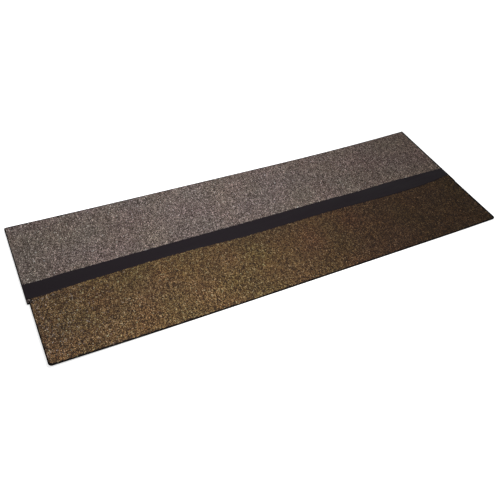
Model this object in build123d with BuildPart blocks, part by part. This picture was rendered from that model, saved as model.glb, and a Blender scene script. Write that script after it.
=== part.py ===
from build123d import *
from math import cos, degrees, pi, radians, sin
import os

# Asphalt roofing shingle: one strip lying face up, as it rests on a level floor.
# X runs along the strip, Y from its exposed front edge to its covered back edge, Z is up.
# The origin is on the floor under the middle of the strip. Sizes are in millimetres.

# Sheet: a glass mat coated with mineral-filled asphalt and surfaced with stone granules.
length = 1000.0
width = 337.0
thickness = 3.0

# Tab: the front part that stays exposed on the roof, cut back a little at both ends.
tab_depth = 135.0
left_cut_back = 4.0
right_cut_back = 1.5
tab_corner_radius = 5.0
notch_root_radius = 0.6

# Self-seal band: a flat bead of soft asphalt laid along the strip just behind the tab.
seal_behind_tab = 16.8
seal_width = 34.0
seal_height = 0.7
seal_shoulder_radius = 0.3
seal_sample_pitch = 20.0

# Its edges wander, because the bead is laid on a moving web. Each wave has a size and a pitch
# along the strip, and the place of a crest.
seal_front_waves = ((2.2, 1000.0, -160.0), (1.6, 390.0, -230.0))
seal_back_waves = ((1.8, 1100.0, 80.0), (0.6, 375.0, -195.0))

# Release film: a smooth tape rolled flush into the back, opposite the self-seal band.
film_width = 44.0
film_thickness = 0.2

# Set: the strip keeps a gentle bend, about an axis slanted from its width.
# It lies flat in the middle, and its front left and back right corners stand clear of the floor.
bend_slant = 30.0
left_bend_run = 400.0
left_corner_rise = 6.0
right_bend_run = 330.0
right_corner_rise = 10.0
blank_margin = 10.0

# Places that follow from those sizes
half_length = length / 2
half_width = width / 2
front_edge = -half_width
notch_line = front_edge + tab_depth
seal_middle = notch_line + seal_behind_tab + seal_width / 2

along_bend = Vector(cos(radians(bend_slant)), sin(radians(bend_slant)), 0)
across_bend = along_bend.rotate(Axis.Z, -90)
bend_plane = Plane(origin=(0, 0, 0), x_dir=along_bend, z_dir=across_bend)
corner_reach = half_length * along_bend.X + half_width * along_bend.Y
left_flat_end = left_bend_run - corner_reach
right_flat_end = corner_reach - right_bend_run
blank_width = length + width
blank_height = left_corner_rise + right_corner_rise + thickness + seal_height + blank_margin


def underside_radius(run, rise):
    """Radius of an arc that leaves the floor level and climbs by rise over run."""
    return (run**2 + rise**2) / (2 * rise)


left_radius = underside_radius(left_bend_run, left_corner_rise)
right_radius = underside_radius(right_bend_run, right_corner_rise)
left_turn = degrees((left_bend_run + blank_margin) / left_radius)
right_turn = degrees((right_bend_run + blank_margin) / right_radius)


def layer_profile(low, high):
    """Side view of one layer of the bent strip, between two heights above its underside."""
    with BuildSketch(bend_plane) as profile:
        with BuildLine():
            under = Line((left_flat_end, low), (right_flat_end, low))
            over = Line((left_flat_end, high), (right_flat_end, high))
            right_under = JernArc(under @ 1, (1, 0), right_radius - low, right_turn)
            right_over = JernArc(over @ 1, (1, 0), right_radius - high, right_turn)
            left_under = JernArc(under @ 0, (-1, 0), left_radius - low, -left_turn)
            left_over = JernArc(over @ 0, (-1, 0), left_radius - high, -left_turn)
            Line(right_under @ 1, right_over @ 1)
            Line(left_under @ 1, left_over @ 1)
        make_face()
    return profile.sketch


def seal_edge(edge_line, waves):
    """Points of one of the self-seal band's edges, which wanders about a straight line."""
    steps = round(length / seal_sample_pitch)
    points = []
    for i in range(steps + 1):
        x = -half_length + length * i / steps
        wander = sum(size * cos(2 * pi * (x - crest) / pitch) for size, pitch, crest in waves)
        points.append((x, edge_line + wander))
    return points


# Release film
with BuildPart() as release_film:
    extrude(layer_profile(0, film_thickness), amount=blank_width / 2, both=True)
    with BuildSketch():
        with Locations((0, seal_middle)):
            Rectangle(length, film_width)
    extrude(amount=blank_height, mode=Mode.INTERSECT)

# Sheet
with BuildPart() as shingle_sheet:
    extrude(layer_profile(0, thickness), amount=blank_width / 2, both=True)
    with BuildSketch() as outline:
        Rectangle(length, width)
        with Locations((-half_length, front_edge)):
            Rectangle(left_cut_back, tab_depth, align=(Align.MIN, Align.MIN), mode=Mode.SUBTRACT)
        with Locations((half_length, front_edge)):
            Rectangle(right_cut_back, tab_depth, align=(Align.MAX, Align.MIN), mode=Mode.SUBTRACT)
        tab_corners = outline.vertices().group_by(Axis.Y)[0]
        fillet(tab_corners, tab_corner_radius)
        notch_roots = outline.vertices().group_by(Axis.Y)[-2].sort_by(Axis.X)
        fillet((notch_roots[1], notch_roots[-2]), notch_root_radius)
    extrude(amount=blank_height, mode=Mode.INTERSECT)
    add(release_film.part, mode=Mode.SUBTRACT)

# Self-seal band, cut off square with the sheet and rounded along its front and back edges
with BuildPart() as self_seal_band:
    extrude(layer_profile(thickness, thickness + seal_height), amount=blank_width / 2, both=True)
    with BuildSketch():
        with BuildLine():
            front = Spline(seal_edge(seal_middle - seal_width / 2, seal_front_waves))
            back = Spline(seal_edge(seal_middle + seal_width / 2, seal_back_waves))
            Line(front @ 0, back @ 0)
            Line(front @ 1, back @ 1)
        make_face()
    extrude(amount=blank_height, mode=Mode.INTERSECT)
    top_faces = self_seal_band.faces().filter_by(lambda face: face.normal_at().Z > 0.9)
    bend_lines = Axis((0, 0, 0), across_bend)
    shoulders = top_faces.edges().filter_by(bend_lines, reverse=True).filter_by(Plane.YZ, reverse=True)
    fillet(shoulders, seal_shoulder_radius)

shingle_sheet.part.label = "shingle_sheet"
self_seal_band.part.label = "self_seal_band"
release_film.part.label = "release_film"

os.makedirs("parts", exist_ok=True)
export_step(shingle_sheet.part, "parts/shingle_sheet.step")
export_step(self_seal_band.part, "parts/self_seal_band.step")
export_step(release_film.part, "parts/release_film.step")
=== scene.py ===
from math import pi, radians

import bmesh
import bpy
import numpy as np
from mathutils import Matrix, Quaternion, Vector, noise
from mathutils.bvhtree import BVHTree


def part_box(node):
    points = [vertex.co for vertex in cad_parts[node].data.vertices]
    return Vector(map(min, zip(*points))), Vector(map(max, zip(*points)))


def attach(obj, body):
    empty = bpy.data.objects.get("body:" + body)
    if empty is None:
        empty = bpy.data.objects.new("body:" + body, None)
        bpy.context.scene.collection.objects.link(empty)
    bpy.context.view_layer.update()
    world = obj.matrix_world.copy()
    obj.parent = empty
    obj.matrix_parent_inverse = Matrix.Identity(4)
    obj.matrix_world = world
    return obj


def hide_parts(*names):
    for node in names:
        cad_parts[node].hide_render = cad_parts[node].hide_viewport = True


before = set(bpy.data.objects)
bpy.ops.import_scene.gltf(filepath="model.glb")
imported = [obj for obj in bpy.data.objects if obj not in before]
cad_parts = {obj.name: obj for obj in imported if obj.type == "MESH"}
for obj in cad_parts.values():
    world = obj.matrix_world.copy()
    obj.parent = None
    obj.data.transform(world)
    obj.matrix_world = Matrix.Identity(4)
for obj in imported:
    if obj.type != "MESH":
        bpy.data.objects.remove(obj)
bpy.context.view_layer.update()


# Coated sheet
# A glass mat soaked and coated with mineral-filled asphalt, run under the granule hoppers and
# sanded on its back, then chopped from the web with a knife. Its top is the bed that the
# granules are pressed into, and its cut edges show bare black asphalt.

low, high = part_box("shingle_sheet")
length = high.x - low.x
width = high.y - low.y
thickness = 0.003
granule_layer = 0.0005
tab_depth = 0.135
left_cut_back = 0.004
right_cut_back = 0.0015
tab_corner_radius = 0.0065
worn_corner_radius = 0.0022
worn_back_radius = 0.004
film_low, film_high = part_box("release_film")
film_recess = 0.0002
notch_line = low.y + tab_depth
tab_left, tab_right = low.x + left_cut_back, high.x - right_cut_back
bed_height = thickness - granule_layer
hair = 1e-6
bare_rim = 0.0021
bare_right_rim = 0.004
bare_tab_rim = 0.005
bare_corner = 0.006

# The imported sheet's own top is read once, so that every piece follows its bend.
packed_top = BVHTree.FromObject(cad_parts["shingle_sheet"], bpy.context.evaluated_depsgraph_get())
probe_margin = 0.008
probe_columns, probe_rows = 81, 33
probe_x = np.linspace(low.x + probe_margin, high.x - probe_margin, probe_columns)
probe_y = np.linspace(low.y + probe_margin, high.y - probe_margin, probe_rows)
probe_rise = np.array([
    [packed_top.ray_cast(Vector((x, y, 1)), Vector((0, 0, -1)))[0].z - thickness for y in probe_y]
    for x in probe_x
])


def rise(x, y):
    """How far the bent sheet stands above its flat place, at these points of its plan."""
    across = (np.asarray(x) - probe_x[0]) / (probe_x[1] - probe_x[0])
    along = (np.asarray(y) - probe_y[0]) / (probe_y[1] - probe_y[0])
    column = np.clip(np.floor(across).astype(int), 0, len(probe_x) - 2)
    row = np.clip(np.floor(along).astype(int), 0, len(probe_y) - 2)
    across, along = across - column, along - row
    front = probe_rise[column, row] * (1 - across) + probe_rise[column + 1, row] * across
    back = probe_rise[column, row + 1] * (1 - across) + probe_rise[column + 1, row + 1] * across
    return front * (1 - along) + back * along


def cut(mesh, faces, place, normal):
    """Cuts these faces along a plane."""
    around = {part for face in faces for part in (*face.verts, *face.edges)}
    bmesh.ops.bisect_plane(mesh, geom=[*faces, *around], plane_co=place, plane_no=normal)


def rounded(mesh, corners, radius, segments):
    """Rounds these corners of a flat outline."""
    bmesh.ops.bevel(
        mesh, geom=corners, offset=radius, segments=segments, profile=0.5,
        affect="VERTICES", material=-1,
    )


def put_in_order(parts, place):
    """Sorts a mesh's vertices, edges or faces by their places."""
    by_place = sorted(parts, key=lambda part: tuple(place(part)))
    ranks = {part: rank for rank, part in enumerate(by_place)}
    parts.sort(key=ranks.get)
    parts.index_update()


def mesh_data(name, mesh):
    """Turns a bmesh into mesh data."""
    data = bpy.data.meshes.new(name)
    mesh.to_mesh(data)
    mesh.free()
    return data


def finished_piece(name, data, materials):
    """Makes an object of the scene from mesh data, riding on the root body."""
    piece = bpy.data.objects.new(name, data)
    bpy.context.scene.collection.objects.link(piece)
    for material in materials:
        data.materials.append(material)
    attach(piece, "root")
    return piece


sheet = bmesh.new()
bmesh.ops.create_grid(sheet, x_segments=1, y_segments=1, size=0.5)
bmesh.ops.scale(sheet, vec=(length, width, 1), verts=sheet.verts)
cut(sheet, sheet.faces[:], (0, notch_line, 0), (0, 1, 0))
for x in (tab_left, tab_right):
    tab_faces = [face for face in sheet.faces if face.calc_center_median().y < notch_line]
    cut(sheet, tab_faces, (x, 0, 0), (1, 0, 0))
cut_offs = []
for face in sheet.faces:
    middle = face.calc_center_median()
    if middle.y < notch_line and not tab_left < middle.x < tab_right:
        cut_offs.append(face)
bmesh.ops.delete(sheet, geom=cut_offs, context="FACES")
tab_corners = [vert for vert in sheet.verts if vert.co.y < low.y + hair]
rounded(sheet, tab_corners, tab_corner_radius, segments=8)
# Both left corners of the headlap are worn round.
for y, radius, segments in ((notch_line, worn_corner_radius, 4), (high.y, worn_back_radius, 6)):
    end_verts = [vert for vert in sheet.verts if vert.co.x < low.x + hair]
    corner = [vert for vert in end_verts if abs(vert.co.y - y) < hair]
    rounded(sheet, corner, radius, segments)

# Cells about an inch wide follow the bend, and lines at the film's edges hold its recess.
cell = 0.025
for x in np.arange(low.x + cell, high.x - cell / 2, cell):
    cut(sheet, sheet.faces[:], (x, 0, 0), (1, 0, 0))
for y in [*np.arange(low.y + cell, high.y - cell / 2, cell), film_low.y, film_high.y]:
    cut(sheet, sheet.faces[:], (0, y, 0), (0, 1, 0))

# Lines inside the outline part the granule bed from the bare rim.
bed_left, bed_right = low.x + bare_rim, high.x - bare_right_rim
corner_left, corner_right = tab_left + bare_corner, tab_right - bare_corner
tab_bed_left, tab_bed_right = tab_left + bare_rim, tab_right - bare_tab_rim
for x in (bed_left, bed_right, tab_bed_left, tab_bed_right, corner_left, corner_right):
    cut(sheet, sheet.faces[:], (x, 0, 0), (1, 0, 0))
for y in (low.y + bare_rim, low.y + bare_corner, high.y - bare_rim):
    cut(sheet, sheet.faces[:], (0, y, 0), (0, 1, 0))

# The rim gets points close enough together for the knife's small waver.
rim_pitch = 0.0015
rim = [edge for edge in sheet.edges if edge.is_boundary and edge.calc_length() > rim_pitch]
for edge in rim:
    bmesh.ops.bisect_edges(sheet, edges=[edge], cuts=round(edge.calc_length() / rim_pitch))

raised = bmesh.ops.extrude_face_region(sheet, geom=sheet.faces[:], use_keep_orig=True)["geom"]
top_verts = [part for part in raised if isinstance(part, bmesh.types.BMVert)]
bmesh.ops.translate(sheet, vec=(0, 0, bed_height), verts=top_verts)
bmesh.ops.recalc_face_normals(sheet, faces=sheet.faces)
upright = [edge for edge in sheet.edges if abs(edge.verts[0].co.z - edge.verts[1].co.z) > bed_height / 2]
bmesh.ops.subdivide_edges(sheet, edges=upright, cuts=3, use_grid_fill=True)
# The extrusion makes the walls in no fixed order, and the mesh has to be the same each run.
put_in_order(sheet.verts, lambda vert: vert.co)
put_in_order(sheet.edges, lambda edge: edge.verts[0].co + edge.verts[1].co)
put_in_order(sheet.faces, lambda face: face.calc_center_median())
sheet.normal_update()
top_face, cut_face, back_face, rim_face = 0, 1, 2, 3
for face in sheet.faces:
    if face.normal.z > 0.5:
        face.material_index = top_face
    elif face.normal.z < -0.5:
        face.material_index = back_face
    else:
        face.material_index = cut_face
    face.smooth = face.material_index != cut_face
    middle = face.calc_center_median()
    bed_x = (tab_bed_left, tab_bed_right) if middle.y < notch_line else (bed_left, bed_right)
    on_bed = bed_x[0] < middle.x < bed_x[1] and low.y + bare_rim < middle.y < high.y - bare_rim
    if middle.y < low.y + bare_corner and not corner_left < middle.x < corner_right:
        on_bed = False
    if notch_line < middle.y < notch_line + cell and middle.x < corner_left:
        on_bed = False
    if face.material_index == top_face and not on_bed:
        face.material_index = rim_face

# The knife drags the soft asphalt a little in and out, most in the middle of the thickness.
knife_waver = 0.00012
core_pull = 0.00018
slow_scale, slow_bias = 60, 0.5
fine_scale, fine_bias = 700, 0.3
for vert in sheet.verts:
    walls = [face for face in vert.link_faces if face.material_index == cut_face]
    if walls:
        outward = sum((face.normal for face in walls), Vector())
        outward.z = 0
        outward.normalize()
        height = vert.co.z / bed_height
        slow = noise.noise(Vector((vert.co.x, vert.co.y, 0)) * slow_scale) - slow_bias
        fine = noise.noise(vert.co * fine_scale) - fine_bias
        bulge = height * (1 - height) * 4
        vert.co += outward * (knife_waver * slow + core_pull * fine * bulge)
    if film_low.y - hair < vert.co.y < film_high.y + hair and vert.co.z < film_recess:
        vert.co.z = film_recess
    vert.co.z += rise(vert.co.x, vert.co.y)


def blank_material(name):
    """A new material with its Principled shader, and its nodes and links."""
    material = bpy.data.materials.new(name)
    material.use_nodes = True
    nodes = material.node_tree.nodes
    return material, nodes, material.node_tree.links, nodes["Principled BSDF"]


def feed(links, value, socket):
    """Gives a socket a number or a colour, or links it to the socket that makes one."""
    if isinstance(value, bpy.types.NodeSocket):
        links.new(value, socket)
    elif isinstance(value, tuple):
        socket.default_value = (*value, 1)
    else:
        socket.default_value = value


def calculated(nodes, links, operation, first, second):
    """The result of a Math node on two values."""
    node = nodes.new("ShaderNodeMath")
    node.operation = operation
    feed(links, first, node.inputs[0])
    feed(links, second, node.inputs[1])
    return node.outputs[0]


# Where a Mix node keeps its share, its two colours and what it makes of them
mix_share, mix_low, mix_high, mix_made = 0, 6, 7, 2


def mixed_colour(nodes, links, share, low_colour, high_colour, blend="MIX"):
    """A mix of two colours by a share."""
    mix = nodes.new("ShaderNodeMix")
    mix.data_type = "RGBA"
    mix.blend_type = blend
    feed(links, share, mix.inputs[mix_share])
    feed(links, low_colour, mix.inputs[mix_low])
    feed(links, high_colour, mix.inputs[mix_high])
    return mix.outputs[mix_made]


def mapped(nodes, links, value, from_low, from_high, to_low=0.0, to_high=1.0, smooth=False):
    """A value carried from one range to another."""
    ramp = nodes.new("ShaderNodeMapRange")
    ramp.interpolation_type = "SMOOTHSTEP" if smooth else "LINEAR"
    links.new(value, ramp.inputs["Value"])
    ramp.inputs["From Min"].default_value = from_low
    ramp.inputs["From Max"].default_value = from_high
    ramp.inputs["To Min"].default_value = to_low
    ramp.inputs["To Max"].default_value = to_high
    return ramp.outputs["Result"]


def blank_group(name, sockets):
    """A new shader node group with these sockets, and its nodes, links, input and output."""
    group = bpy.data.node_groups.new(name, "ShaderNodeTree")
    for socket_name, in_out, kind in sockets:
        group.interface.new_socket(name=socket_name, in_out=in_out, socket_type=kind)
    nodes = group.nodes
    given, made = nodes.new("NodeGroupInput").outputs, nodes.new("NodeGroupOutput").inputs
    return group, nodes, group.links, given, made


def placed_group(nodes, links, group, values):
    """Places a node group in a material, with values in the order of its inputs."""
    node = nodes.new("ShaderNodeGroup")
    node.node_tree = group
    for value, socket in zip(values, node.inputs):
        feed(links, value, socket)
    return node.outputs


# Mineral speckle: cells of stone or sand, each with its own tone, in a darker ground
mineral_speckle, nodes, links, given, made = blank_group("mineral_speckle", (
    ("Ground", "INPUT", "NodeSocketColor"),
    ("Dark Grain", "INPUT", "NodeSocketColor"),
    ("Light Grain", "INPUT", "NodeSocketColor"),
    ("Grain Size", "INPUT", "NodeSocketFloat"),
    ("Cover", "INPUT", "NodeSocketFloat"),
    ("Colour", "OUTPUT", "NodeSocketColor"),
    ("Height", "OUTPUT", "NodeSocketFloat"),
))
place = nodes.new("ShaderNodeTexCoord")
cells = nodes.new("ShaderNodeTexVoronoi")
links.new(place.outputs["Object"], cells.inputs["Vector"])
links.new(calculated(nodes, links, "DIVIDE", 1, given["Grain Size"]), cells.inputs["Scale"])
tone = nodes.new("ShaderNodeSeparateColor")
links.new(cells.outputs["Color"], tone.inputs["Color"])
grain = mixed_colour(nodes, links, tone.outputs["Red"], given["Dark Grain"], given["Light Grain"])
is_grain = calculated(nodes, links, "LESS_THAN", tone.outputs["Green"], given["Cover"])
grain_edge, grain_core = 0.62, 0.3
grain_body = mapped(nodes, links, cells.outputs["Distance"], grain_edge, grain_core)
grain_share = calculated(nodes, links, "MULTIPLY", is_grain, grain_body)
links.new(mixed_colour(nodes, links, grain_share, given["Ground"], grain), made["Colour"])
links.new(grain_share, made["Height"])


def speckled(nodes, links, ground, dark, light, size, cover):
    """The speckle's colour and height, with a material's own colours and grain."""
    return placed_group(nodes, links, mineral_speckle, (ground, dark, light, size, cover))


# Web noise: drawn out along the strip, the way the web runs, or even where the stretch is 1
web_noise, nodes, links, given, made = blank_group("web_noise", (
    ("Scale", "INPUT", "NodeSocketFloat"),
    ("Stretch", "INPUT", "NodeSocketFloat"),
    ("Detail", "INPUT", "NodeSocketFloat"),
    ("Pattern", "OUTPUT", "NodeSocketFloat"),
))
place = nodes.new("ShaderNodeTexCoord")
shrink = nodes.new("ShaderNodeCombineXYZ")
links.new(calculated(nodes, links, "DIVIDE", 1, given["Stretch"]), shrink.inputs["X"])
shrink.inputs["Y"].default_value = 1
shrink.inputs["Z"].default_value = 1
along = nodes.new("ShaderNodeMapping")
links.new(place.outputs["Object"], along.inputs["Vector"])
links.new(shrink.outputs["Vector"], along.inputs["Scale"])
pattern = nodes.new("ShaderNodeTexNoise")
links.new(along.outputs["Vector"], pattern.inputs["Vector"])
links.new(given["Scale"], pattern.inputs["Scale"])
links.new(given["Detail"], pattern.inputs["Detail"])
links.new(pattern.outputs["Fac"], made["Pattern"])


def streaked(nodes, links, scale, stretch=1, detail=4):
    """The web noise's pattern, at a material's own scale, stretch and detail."""
    return placed_group(nodes, links, web_noise, (scale, stretch, detail))["Pattern"]


def bumped(nodes, links, height, depth, shader):
    """Feeds a height from 0 to 1, over a depth in metres, to the shader's normal."""
    bump = nodes.new("ShaderNodeBump")
    bump.inputs["Strength"].default_value = 1
    bump.inputs["Distance"].default_value = depth
    links.new(height, bump.inputs["Height"])
    links.new(bump.outputs["Normal"], shader.inputs["Normal"])


# Most values of a noise texture lie in this span.
noise_low, noise_high = 0.3, 0.7


def roughened(nodes, links, pattern, smoothest, roughest, shader):
    """Varies the shader's roughness with a noise."""
    roughness = mapped(nodes, links, pattern, noise_low, noise_high, smoothest, roughest)
    links.new(roughness, shader.inputs["Roughness"])


# Bed: asphalt between the granules, with fines of the same stone pressed in.
granule_bed, nodes, links, shader = blank_material("granule_bed")
place = nodes.new("ShaderNodeTexCoord")
axes = nodes.new("ShaderNodeSeparateXYZ")
links.new(place.outputs["Object"], axes.inputs["Vector"])
band_low, band_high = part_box("self_seal_band")
band_middle = (band_low.y + band_high.y) / 2
seam_blur = 0.001
is_headlap = mapped(nodes, links, axes.outputs["Y"], band_middle - seam_blur, band_middle + seam_blur)
darken_from, darken_to = -0.25, 0.3
is_shaded = mapped(nodes, links, axes.outputs["X"], darken_from, darken_to, smooth=True)
brown_fines, shadow_fines, grey_fines = (0.26, 0.157, 0.07), (0.07, 0.036, 0.02), (0.355, 0.283, 0.25)
tab_fines = mixed_colour(nodes, links, is_shaded, brown_fines, shadow_fines)
fines = mixed_colour(nodes, links, is_headlap, tab_fines, grey_fines)
asphalt, dark_fines = (0.012, 0.01, 0.009), (0.04, 0.03, 0.024)
speckle = speckled(nodes, links, asphalt, dark_fines, fines, size=0.0009, cover=0.85)
links.new(speckle["Colour"], shader.inputs["Base Color"])
shader.inputs["Roughness"].default_value = 0.85
shader.inputs["Specular IOR Level"].default_value = 0.15
fines_height = 0.0002
bumped(nodes, links, speckle["Height"], fines_height, shader)

# Cut edge: bare asphalt, torn a little by the knife and matt where its filler shows.
cut_asphalt, nodes, links, shader = blank_material("cut_asphalt")
black, dull_black, filler = (0.005, 0.0042, 0.0038), (0.008, 0.0066, 0.006), (0.02, 0.0165, 0.0145)
speckle = speckled(nodes, links, black, dull_black, filler, size=0.0004, cover=0.35)
drag = streaked(nodes, links, scale=900, stretch=6)
links.new(speckle["Colour"], shader.inputs["Base Color"])
roughened(nodes, links, drag, 0.6, 0.85, shader)
shader.inputs["Specular IOR Level"].default_value = 0.03
drag_depth = 0.00015
bumped(nodes, links, drag, drag_depth, shader)

# Back: fine sand rolled into the asphalt, thin in places, so that the black shows through.
sanded_back, nodes, links, shader = blank_material("sanded_back")
cover = streaked(nodes, links, scale=45, stretch=5)
bare_from, sanded_from = 0.35, 0.65
sand_share = mapped(nodes, links, cover, bare_from, sanded_from)
thin_sand, full_sand = (0.05, 0.046, 0.042), (0.13, 0.12, 0.108)
sand = mixed_colour(nodes, links, sand_share, thin_sand, full_sand)
back_asphalt, dark_sand = (0.018, 0.017, 0.016), (0.04, 0.037, 0.034)
speckle = speckled(nodes, links, back_asphalt, dark_sand, sand, size=0.00055, cover=0.8)
links.new(speckle["Colour"], shader.inputs["Base Color"])
roughened(nodes, links, cover, 0.75, 0.92, shader)
shader.inputs["Specular IOR Level"].default_value = 0.3
sand_height = 0.00018
bumped(nodes, links, speckle["Height"], sand_height, shader)

sheet_materials = (granule_bed, cut_asphalt, sanded_back, cut_asphalt)
coated_sheet = finished_piece(
    "coated_sheet", mesh_data("coated_sheet", sheet), sheet_materials,
)
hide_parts("shingle_sheet")


# Self-seal band
# A flat bead of soft asphalt, laid hot from a wheel along the moving web just behind the tab.
# It spreads a little between the granules, so its edges are uneven, and it dries satin black.

packed_band = BVHTree.FromObject(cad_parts["self_seal_band"], bpy.context.evaluated_depsgraph_get())
bead_height = 0.0007
bead_shoulder = 0.0016
bead_left_stop = 0.0006
bead_right_stop = 0.003
bead_edge_creep = 0.0007
bead_ripple = 0.00006
bead_depth = 0.0014

ray_margin = 0.0001
ray_count = 251
bead_x = np.linspace(low.x + ray_margin, high.x - ray_margin, ray_count)


def bead_edge(side):
    """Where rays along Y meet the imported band's front edge, side 1, or its back edge, side -1."""
    places = []
    for x in bead_x:
        start = Vector((x, -side * width, float(rise(x, 0)) + thickness + bead_height / 2))
        places.append(packed_band.ray_cast(start, Vector((0, side, 0)))[0].y)
    return places


# How far the bead strays from those edges: a shift, and bulges that each have a place along the
# strip, a reach and a depth.
front_shift = -0.001
front_bulges = (
    (-0.475, 0.035, -0.0045), (-0.06, 0.09, -0.002), (0.35, 0.12, 0.001), (0.5, 0.045, 0.005),
)
back_shift = -0.0003
back_bulges = ((-0.48, 0.035, -0.003), (-0.32, 0.09, 0.0011), (0.35, 0.06, 0.0028))


def strayed(edge, shift, bulges):
    """An edge of the bead, moved by its shift and its bulges."""
    moved = edge + shift
    for place, reach, depth in bulges:
        moved += depth * np.exp(-((bead_x - place) / reach) ** 2)
    return moved


bead_front = strayed(np.array(bead_edge(1)), front_shift, front_bulges)
bead_back = strayed(np.array(bead_edge(-1)), back_shift, back_bulges)

bead_columns, bead_rows = 500, 18
broad_creep, narrow_creep = 160, 420
broad_layer, narrow_layer = 7.3, 3.1
narrow_share = 0.6
long_ripple, short_ripple = (25, 130), (120, 400)
ripple_layers = (1, 4)
bead = bmesh.new()
bmesh.ops.create_grid(bead, x_segments=bead_columns, y_segments=bead_rows, size=0.5)
for vert in bead.verts:
    x = low.x + bead_left_stop + (length - bead_left_stop - bead_right_stop) * (vert.co.x + 0.5)
    share = vert.co.y + 0.5
    side = float(share > 0.5)
    creep = noise.noise(Vector((x * broad_creep, broad_layer * side, 0)))
    creep += narrow_share * noise.noise(Vector((x * narrow_creep, narrow_layer, side)))
    front = np.interp(x, bead_x, bead_front) - bead_edge_creep * creep
    back = np.interp(x, bead_x, bead_back) + bead_edge_creep * creep
    # Rows crowd towards the two edges, where the bead turns down.
    share = 0.5 + 0.5 * np.sin(pi * (share - 0.5))
    y = front + (back - front) * share
    inset = min(y - front, back - y, x - low.x - bead_left_stop, high.x - bead_right_stop - x)
    turn = min(inset / bead_shoulder, 1)
    crown = bead_height * (1 - (1 - turn) ** 2) - granule_layer * (1 - turn) ** 4
    ripple = noise.noise(Vector((x * long_ripple[0], y * long_ripple[1], ripple_layers[0])))
    ripple += 0.5 * noise.noise(Vector((x * short_ripple[0], y * short_ripple[1], ripple_layers[1])))
    vert.co = (x, y, thickness + crown + bead_ripple * (ripple * turn - 1) + float(rise(x, y)))
for face in bead.faces:
    face.smooth = True

seal_asphalt, nodes, links, shader = blank_material("seal_asphalt")
flow = streaked(nodes, links, scale=120, stretch=8)
satin_black, worn_black = (0.0064, 0.0042, 0.0059), (0.0095, 0.0066, 0.0088)
links.new(mixed_colour(nodes, links, flow, satin_black, worn_black), shader.inputs["Base Color"])
roughened(nodes, links, flow, 0.55, 0.72, shader)
shader.inputs["Specular IOR Level"].default_value = 0.09
pebble_height = 0.0001
pebble = streaked(nodes, links, scale=500, detail=2)
bumped(nodes, links, pebble, pebble_height, shader)

seal_bead = finished_piece(
    "seal_bead", mesh_data("seal_bead", bead), (seal_asphalt,),
)
fill = seal_bead.modifiers.new("bead_thickness", "SOLIDIFY")
fill.thickness = bead_depth
fill.offset = -1
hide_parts("self_seal_band")


# Release film
# A thin polyester tape, rolled flush into the back while the asphalt is warm. It faces the
# next strip's band in a bundle, so that the two don't stick. It looks smoky and creases a little.

release_tape, nodes, links, shader = blank_material("release_tape")
haze = streaked(nodes, links, scale=30, stretch=6)
crease = nodes.new("ShaderNodeTexVoronoi")
crease.feature = "DISTANCE_TO_EDGE"
crease.inputs["Scale"].default_value = 45
place = nodes.new("ShaderNodeTexCoord")
links.new(place.outputs["Object"], crease.inputs["Vector"])
smoky, hazy = (0.02, 0.02, 0.022), (0.075, 0.075, 0.08)
links.new(mixed_colour(nodes, links, haze, smoky, hazy), shader.inputs["Base Color"])
roughened(nodes, links, haze, 0.22, 0.4, shader)
crease_width, crease_depth = 0.05, 0.0001
crease_height = mapped(nodes, links, crease.outputs["Distance"], 0, crease_width)
bumped(nodes, links, crease_height, crease_depth, shader)
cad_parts["release_film"].material_slots[0].material = release_tape


# Granules
# Crushed rock, with a fired colour where it stays exposed, dropped on the hot asphalt and pressed
# in by rollers, so that each chip lies on a broad side with about half its height showing.

chip_breadth = 0.00205
chip_flatness = 0.55
chip_lean = radians(20)
chip_pitch = 0.0018
chip_shake = 0.36
chip_lift = 0.00012
size_spread, least_size, most_size = 0.2, 0.65, 1.45
most_lean = 0.7
corner_spacing = 0.75
corner_reach = (0.42, 0.6)
chip_rng = np.random.default_rng(2417)


def crushed_chip(corners):
    """One angular chip about a unit broad: the hull of corners spread over a flattened ball."""
    while True:
        spots = chip_rng.normal(size=(corners, 3))
        spots /= np.linalg.norm(spots, axis=1)[:, None]
        apart = np.linalg.norm(spots[:, None] - spots[None], axis=2)
        np.fill_diagonal(apart, np.inf)
        if apart.min() < corner_spacing:
            continue
        spots *= chip_rng.uniform(*corner_reach, (corners, 1)) * (1, 1, chip_flatness)
        chip = bmesh.new()
        for spot in spots:
            chip.verts.new(spot)
        bmesh.ops.convex_hull(chip, input=chip.verts)
        bmesh.ops.recalc_face_normals(chip, faces=chip.faces)
        chip.verts.index_update()
        used = {vert.index for face in chip.faces for vert in face.verts}
        triangles = np.array([[vert.index for vert in face.verts] for face in chip.faces])
        points = np.array([vert.co for vert in chip.verts])
        chip.free()
        if len(used) == corners and len(triangles) == 2 * corners - 4:
            return points, triangles


corner_counts = [5] * 10 + [6] * 14
chip_shapes = [crushed_chip(corners) for corners in corner_counts]


def scattered(x_low, x_high, y_low, y_high, pitch):
    """Places on a hexagonal lattice, each shaken, so that chips lie close with uneven gaps."""
    row_step = pitch * 3**0.5 / 2
    rows = np.arange(y_low, y_high, row_step)
    columns = np.arange(x_low, x_high, pitch)
    x, y = np.meshgrid(columns, rows)
    x = x + (np.arange(len(rows)) % 2)[:, None] * pitch / 2
    x, y = x.ravel(), y.ravel()
    x += chip_rng.uniform(-chip_shake, chip_shake, len(x)) * pitch
    y += chip_rng.uniform(-chip_shake, chip_shake, len(y)) * pitch
    inside = (x > x_low) & (x < x_high) & (y > y_low) & (y < y_high)
    return x[inside], y[inside]


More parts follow.
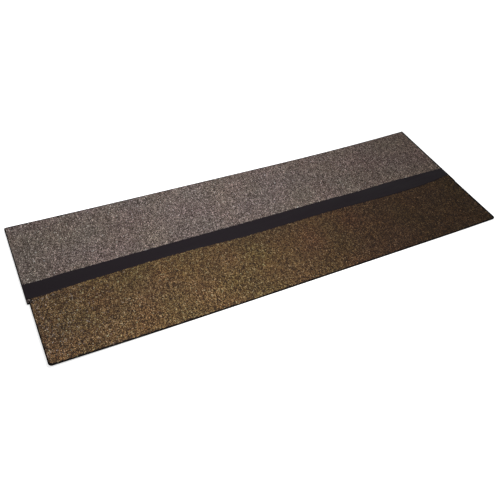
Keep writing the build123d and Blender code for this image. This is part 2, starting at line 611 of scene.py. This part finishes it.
def chip_hulls(x, y):
    """Points and triangles of a chip at each place, and the chip that each point belongs to."""
    count = len(x)
    size = chip_breadth * chip_rng.lognormal(0, size_spread, count).clip(least_size, most_size)
    turn = chip_rng.uniform(0, 2 * pi, count)
    lean = chip_rng.normal(0, chip_lean, count).clip(-most_lean, most_lean)
    height = bed_height + chip_lift + rise(x, y)
    shape = chip_rng.integers(0, len(chip_shapes), count)
    all_points, all_triangles, all_owners = [], [], []
    first = 0
    for kind, (points, triangles) in enumerate(chip_shapes):
        mine = np.nonzero(shape == kind)[0]
        flat_x, flat_y, flat_z = points.T
        cosine, sine = np.cos(lean[mine])[:, None], np.sin(lean[mine])[:, None]
        leaned_y, leaned_z = flat_y * cosine - flat_z * sine, flat_y * sine + flat_z * cosine
        cosine, sine = np.cos(turn[mine])[:, None], np.sin(turn[mine])[:, None]
        turned_x, turned_y = flat_x * cosine - leaned_y * sine, flat_x * sine + leaned_y * cosine
        placed = np.stack([turned_x, turned_y, leaned_z], 2) * size[mine, None, None]
        placed += np.stack([x[mine], y[mine], height[mine]], 1)[:, None]
        starts = first + np.arange(len(mine)) * len(points)
        all_points.append(placed.reshape(-1, 3))
        all_triangles.append((triangles[None] + starts[:, None, None]).reshape(-1, 3))
        all_owners.append(np.repeat(mine, len(points)))
        first += placed.size // 3
    return np.concatenate(all_points), np.concatenate(all_triangles), np.concatenate(all_owners)


def chip_layer(name, x, y, colours, material):
    """A layer of chips at these places as one mesh, with a colour for each chip."""
    points, triangles, owners = chip_hulls(x, y)
    data = bpy.data.meshes.new(name)
    data.vertices.add(len(points))
    data.vertices.foreach_set("co", points.astype(np.float32).ravel())
    data.loops.add(triangles.size)
    data.loops.foreach_set("vertex_index", triangles.astype(np.int32).ravel())
    data.polygons.add(len(triangles))
    data.polygons.foreach_set("loop_start", np.arange(0, triangles.size, 3, dtype=np.int32))
    data.update(calc_edges=True)
    tint = data.attributes.new("stone_colour", "FLOAT_COLOR", "POINT")
    opaque = np.append(colours, np.ones((len(x), 1)), 1)
    tint.data.foreach_set("color", opaque[owners].astype(np.float32).ravel())
    # Each chip has one cell of the map, so a texture drawn through it holds one tone for each.
    across = int(np.ceil(len(x) ** 0.5))
    chip_of_corner = owners[triangles]
    inside_cell = np.array([(0.15, 0.15), (0.85, 0.15), (0.5, 0.85)])
    cell_of = np.stack([chip_of_corner % across, chip_of_corner // across], 2)
    chart = data.uv_layers.new(name="OFBake")
    chart.data.foreach_set("uv", ((cell_of + inside_cell) / across).astype(np.float32).ravel())
    return finished_piece(name, data, (material,))


def stone_material(name):
    """Stone of each chip's own colour, whose flecks also vary its roughness and pit its faces."""
    material, nodes, links, shader = blank_material(name)
    tint = nodes.new("ShaderNodeAttribute")
    tint.attribute_name = "stone_colour"
    fleck = streaked(nodes, links, scale=1500, detail=2)
    darkest_fleck, palest_fleck = 0.8, 1.2
    gain = mapped(nodes, links, fleck, noise_low, noise_high, darkest_fleck, palest_fleck)
    flecked = mixed_colour(nodes, links, 1, tint.outputs["Color"], gain, blend="MULTIPLY")
    links.new(flecked, shader.inputs["Base Color"])
    roughened(nodes, links, fleck, 0.6, 0.85, shader)
    shader.inputs["Specular IOR Level"].default_value = 0.1
    pit_depth = 0.00005
    bumped(nodes, links, fleck, pit_depth, shader)
    return material


clump_size = 0.0036
clump_share = 0.5
patch_size = 0.06
tone_spread = 0.2
clump_layer, rust_layer, olive_layer = 5.5, 11.5, 23.5
darkest_stone, palest_stone = 0.002, 0.9


def drift(x, y, size, layer):
    """A wandering value at each place, with a spread of one, over patches of this size."""
    places = zip(x / size, y / size)
    field = np.array([noise.noise(Vector((place_x, place_y, layer))) for place_x, place_y in places])
    return (field - field.mean()) / field.std()


def blend_of(palette, shares, x, y, tint_drift):
    """A stone colour for each chip. Like stones lie in clumps, and the tint drifts in patches."""
    count = len(x)
    clumps = clump_share * drift(x, y, clump_size, clump_layer)
    field = clumps + (1 - clump_share**2) ** 0.5 * chip_rng.normal(size=count)
    rank = (field.argsort().argsort() + 0.5) / count
    picked = np.searchsorted(np.cumsum(shares)[:-1], rank)
    colours = np.broadcast_to(palette, (count, len(shares), 3))[np.arange(count), picked]
    colours = colours * chip_rng.lognormal(0, tone_spread, (count, 1))
    rust = drift(x, y, patch_size, rust_layer) * tint_drift
    olive = drift(x, y, patch_size, olive_layer) * tint_drift
    tint = np.stack([1 + rust - olive / 2, 1 + olive / 2, 1 - rust / 2 - olive], 1)
    return (colours * tint).clip(darkest_stone, palest_stone)


edge_margin = 0.002
right_margin = 0.0042
tab_right_margin = 0.0052
bead_overlap = 0.0012

# Headlap granules: uncoloured grey rock, because this part lies covered on the roof.
headlap_colours = (
    (0.07, 0.054, 0.047), (0.19, 0.149, 0.131), (0.335, 0.261, 0.231), (0.56, 0.45, 0.4),
    (0.83, 0.7, 0.63),
)
headlap_shares = (0.12, 0.27, 0.37, 0.2, 0.04)
headlap_drift = 0.018
# Painted shade: towards the right end the headlap darkens and browns, standing for the light's falloff.
painted_shade_end = (0.96, 0.9, 0.84)
painted_shade_from, painted_shade_to = 0.1, 0.5
lighter_strip = 0.008
lighter_gain = 0.1
# Painted light: a pool of light on the back of the headlap, around its middle.
painted_pool_middle, painted_pool_reach = -0.04, 0.25
painted_pool_from, painted_pool_to = 0.05, 0.13
painted_pool_gain = 0.07
headlap_stone = stone_material("headlap_stone")
headlap_low = min(bead_back) - bead_overlap
headlap_middle = (high.y + headlap_low) / 2
for name, y_low, y_high in (
    ("headlap_granules_front", headlap_low, headlap_middle),
    ("headlap_granules_back", headlap_middle, high.y - edge_margin),
):
    x, y = scattered(low.x + edge_margin, high.x - right_margin, y_low, y_high, chip_pitch)
    clear = y > np.interp(x, bead_x, bead_back) - bead_overlap
    x, y = x[clear], y[clear]
    colours = blend_of(headlap_colours, headlap_shares, x, y, headlap_drift)
    # A strip just behind the bead is a little lighter.
    behind_bead = y - np.interp(x, bead_x, bead_back)
    colours *= 1 + lighter_gain * np.exp(-behind_bead / lighter_strip)[:, None]
    # Painted light: the stone is also a little lighter at the middle of the back edge, a painted pool
    # of light, and darker and browner to the right, with painted shade where the light falls off.
    pool_back_ramp = ((y - painted_pool_from) / (painted_pool_to - painted_pool_from)).clip(0, 1)
    colours *= 1 + painted_pool_gain * (pool_back_ramp * np.exp(-((x - painted_pool_middle) / painted_pool_reach) ** 2))[:, None]
    painted_shading = ((x - painted_shade_from) / (painted_shade_to - painted_shade_from)).clip(0, 1)[:, None]
    colours *= 1 - painted_shading * (1 - np.array(painted_shade_end))
    chip_layer(name, x, y, colours, headlap_stone)

# Tab granules: a brown blend that turns to a dark shadow blend along the strip. Both have the
# same shares of dark, middle and pale stone.
brown_colours = np.array((
    (0.026, 0.016, 0.0105), (0.085, 0.0425, 0.021), (0.19, 0.095, 0.04), (0.35, 0.208, 0.079),
    (0.59, 0.375, 0.153), (0.88, 0.65, 0.34),
))
shadow_colours = np.array((
    (0.021, 0.0115, 0.006), (0.0385, 0.02, 0.0087), (0.06, 0.032, 0.015), (0.09, 0.048, 0.0232),
    (0.145, 0.084, 0.0405), (0.26, 0.164, 0.087),
))
tab_shares = (0.12, 0.12, 0.14, 0.31, 0.25, 0.06)
tab_drift = 0.03
russet = np.array((1.11, 1.01, 1.09))
russet_middle, russet_reach = 0.18, 0.13
shadow_from, shadow_to = -0.28, 0.345
shadow_spread = 0.08
behind_dimming = 0.31
stray_share = 0.1
mauve_end = np.array((1.07, 1.05, 1.36))
end_reach = 0.07
patch_depth = 0.01
patch_kept = 0.3
chip_free_corner = 0.009
tab_stone = stone_material("tab_stone")
tab_high = max(bead_front) + bead_overlap
tab_middle = (low.y + tab_high) / 2
for name, y_low, y_high in (
    ("tab_granules_front", low.y + edge_margin, tab_middle),
    ("tab_granules_back", tab_middle, tab_high),
):
    x, y = scattered(low.x + edge_margin, high.x - right_margin, y_low, y_high, chip_pitch)
    clear = y < np.interp(x, bead_x, bead_front) + bead_overlap
    on_tab = (x > tab_left + edge_margin) & (x < tab_right - tab_right_margin)
    clear &= on_tab | (y > notch_line + edge_margin)
    corner_x = np.minimum(x - tab_left, tab_right - x)
    corner_y = y - low.y
    from_round = np.hypot(chip_free_corner - corner_x, chip_free_corner - corner_y)
    in_corner = (corner_x < chip_free_corner) & (corner_y < chip_free_corner)
    clear &= ~in_corner | (from_round < chip_free_corner - edge_margin)
    x, y = x[clear], y[clear]
    step = ((x - shadow_from) / (shadow_to - shadow_from)).clip(0, 1)
    step = step * step * (3 - 2 * step)
    share = (step + chip_rng.normal(0, shadow_spread, len(x))).clip(0, 1)[:, None, None]
    colours = blend_of(brown_colours * (1 - share) + shadow_colours * share, tab_shares, x, y, tab_drift)
    # The brown part is a little darker towards the band.
    towards_band = ((y - low.y) / tab_depth).clip(0, 1)
    colours *= (1 - behind_dimming * towards_band * (1 - step**2))[:, None]
    # Where it turns dark it passes through a redder stretch.
    colours *= 1 + (russet - 1) * np.exp(-((x - russet_middle) / russet_reach) ** 2)[:, None]
    # The left end is a little more mauve, and chips of the headlap's stone stray into it. In its
    # patch behind the notch, bare asphalt shows with only a few of them in it.
    near_end = np.exp((low.x - x) / end_reach)
    colours *= 1 + (mauve_end - 1) * near_end[:, None]
    strays = blend_of(headlap_colours, headlap_shares, x, y, headlap_drift)
    in_patch = (x < low.x + patch_depth) & (y > notch_line)
    is_stray = chip_rng.uniform(size=len(x)) < stray_share * near_end
    colours = np.where((in_patch | is_stray)[:, None], strays, colours)
    kept = ~in_patch | (chip_rng.uniform(size=len(x)) < patch_kept)
    chip_layer(name, x[kept], y[kept], colours[kept], tab_stone)


# Floor and light
# A white studio floor that keeps the strip's soft shadow, one soft lamp in front of its left
# half and a weak even sky. The floor's own glow evens out the lamp's pool of light.

lamp_place = Vector((-0.13, -0.2, 0.7))
lamp_aim = Vector((-0.18, 0.6, 0))
pool_middle = Vector((-0.13, -0.1, 0))
pool_reach = 0.6
pool_glow = 0.68
outer_glow = 0.98
floor_drop = 0.0002
floor_half_width = 4


def seen_directly(nodes, links):
    """One for the camera's rays, also by way of a mirror or a pane, and zero for all others."""
    ray = nodes.new("ShaderNodeLightPath").outputs
    camera_or_mirror = calculated(nodes, links, "MAXIMUM", ray["Is Camera Ray"], ray["Is Glossy Ray"])
    return calculated(nodes, links, "MAXIMUM", camera_or_mirror, ray["Is Transmission Ray"])


floor_mesh = bmesh.new()
bmesh.ops.create_grid(floor_mesh, x_segments=1, y_segments=1, size=floor_half_width)
bmesh.ops.translate(floor_mesh, vec=(0, 0, -floor_drop), verts=floor_mesh.verts)
floor = bpy.data.objects.new("floor", mesh_data("floor", floor_mesh))
bpy.context.scene.collection.objects.link(floor)

white_floor, nodes, links, shader = blank_material("white_floor")
shader.inputs["Base Color"].default_value = (0.8, 0.8, 0.8, 1)
shader.inputs["Roughness"].default_value = 1
shader.inputs["Specular IOR Level"].default_value = 0
place = nodes.new("ShaderNodeTexCoord")
away = nodes.new("ShaderNodeVectorMath")
away.operation = "DISTANCE"
away.inputs[1].default_value = pool_middle
links.new(place.outputs["Object"], away.inputs[0])
evening = mapped(nodes, links, away.outputs["Value"], 0, 2 * pool_reach, pool_glow, outer_glow)
floor_glow = calculated(nodes, links, "MULTIPLY", seen_directly(nodes, links), evening)
shader.inputs["Emission Color"].default_value = (1, 1, 1, 1)
links.new(floor_glow, shader.inputs["Emission Strength"])
floor.data.materials.append(white_floor)

sky = bpy.data.worlds.new("studio")
bpy.context.scene.world = sky
sky.use_nodes = True
nodes, links = sky.node_tree.nodes, sky.node_tree.links
background = nodes["Background"]
background.inputs["Color"].default_value = (1, 1, 1, 1)
sky_light = 0.15
strength = mapped(nodes, links, seen_directly(nodes, links), 0, 1, sky_light, 1.0)
links.new(strength, background.inputs["Strength"])

lamp = bpy.data.lights.new("softbox", "AREA")
lamp.shape = "SQUARE"
lamp.size = 0.35
lamp.energy = 7.1
softbox = bpy.data.objects.new("softbox", lamp)
softbox.location = lamp_place
softbox.rotation_euler = (lamp_aim - lamp_place).to_track_quat("-Z", "Y").to_euler()
bpy.context.scene.collection.objects.link(softbox)


# Camera
# Above the left front corner, looking across the strip and down, tilted a little, as the
# photograph was taken.

camera_turn = radians(-31.344)
camera_down = radians(46.556)
camera_roll = radians(7.677)
camera_place = Vector((-0.51652, -0.66366, 0.78321))
focal_pixels = 543.2
picture_pixels = 500
optical_axis_x = 217.13

level = Vector((-np.sin(camera_turn), np.cos(camera_turn), 0)) * float(np.cos(camera_down))
sight = level - Vector((0, 0, float(np.sin(camera_down))))
camera_data = bpy.data.cameras.new("camera")
camera_data.sensor_width = 36
camera_data.lens = focal_pixels / picture_pixels * camera_data.sensor_width
camera_data.shift_x = (picture_pixels / 2 - optical_axis_x) / picture_pixels
camera_data.clip_start = 0.01
camera = bpy.data.objects.new("camera", camera_data)
camera.rotation_mode = "QUATERNION"
camera.rotation_quaternion = sight.to_track_quat("-Z", "Y") @ Quaternion((0, 0, 1), camera_roll)
camera.location = camera_place
bpy.context.scene.collection.objects.link(camera)
bpy.context.scene.camera = camera
bpy.context.scene.view_settings.view_transform = "Standard"
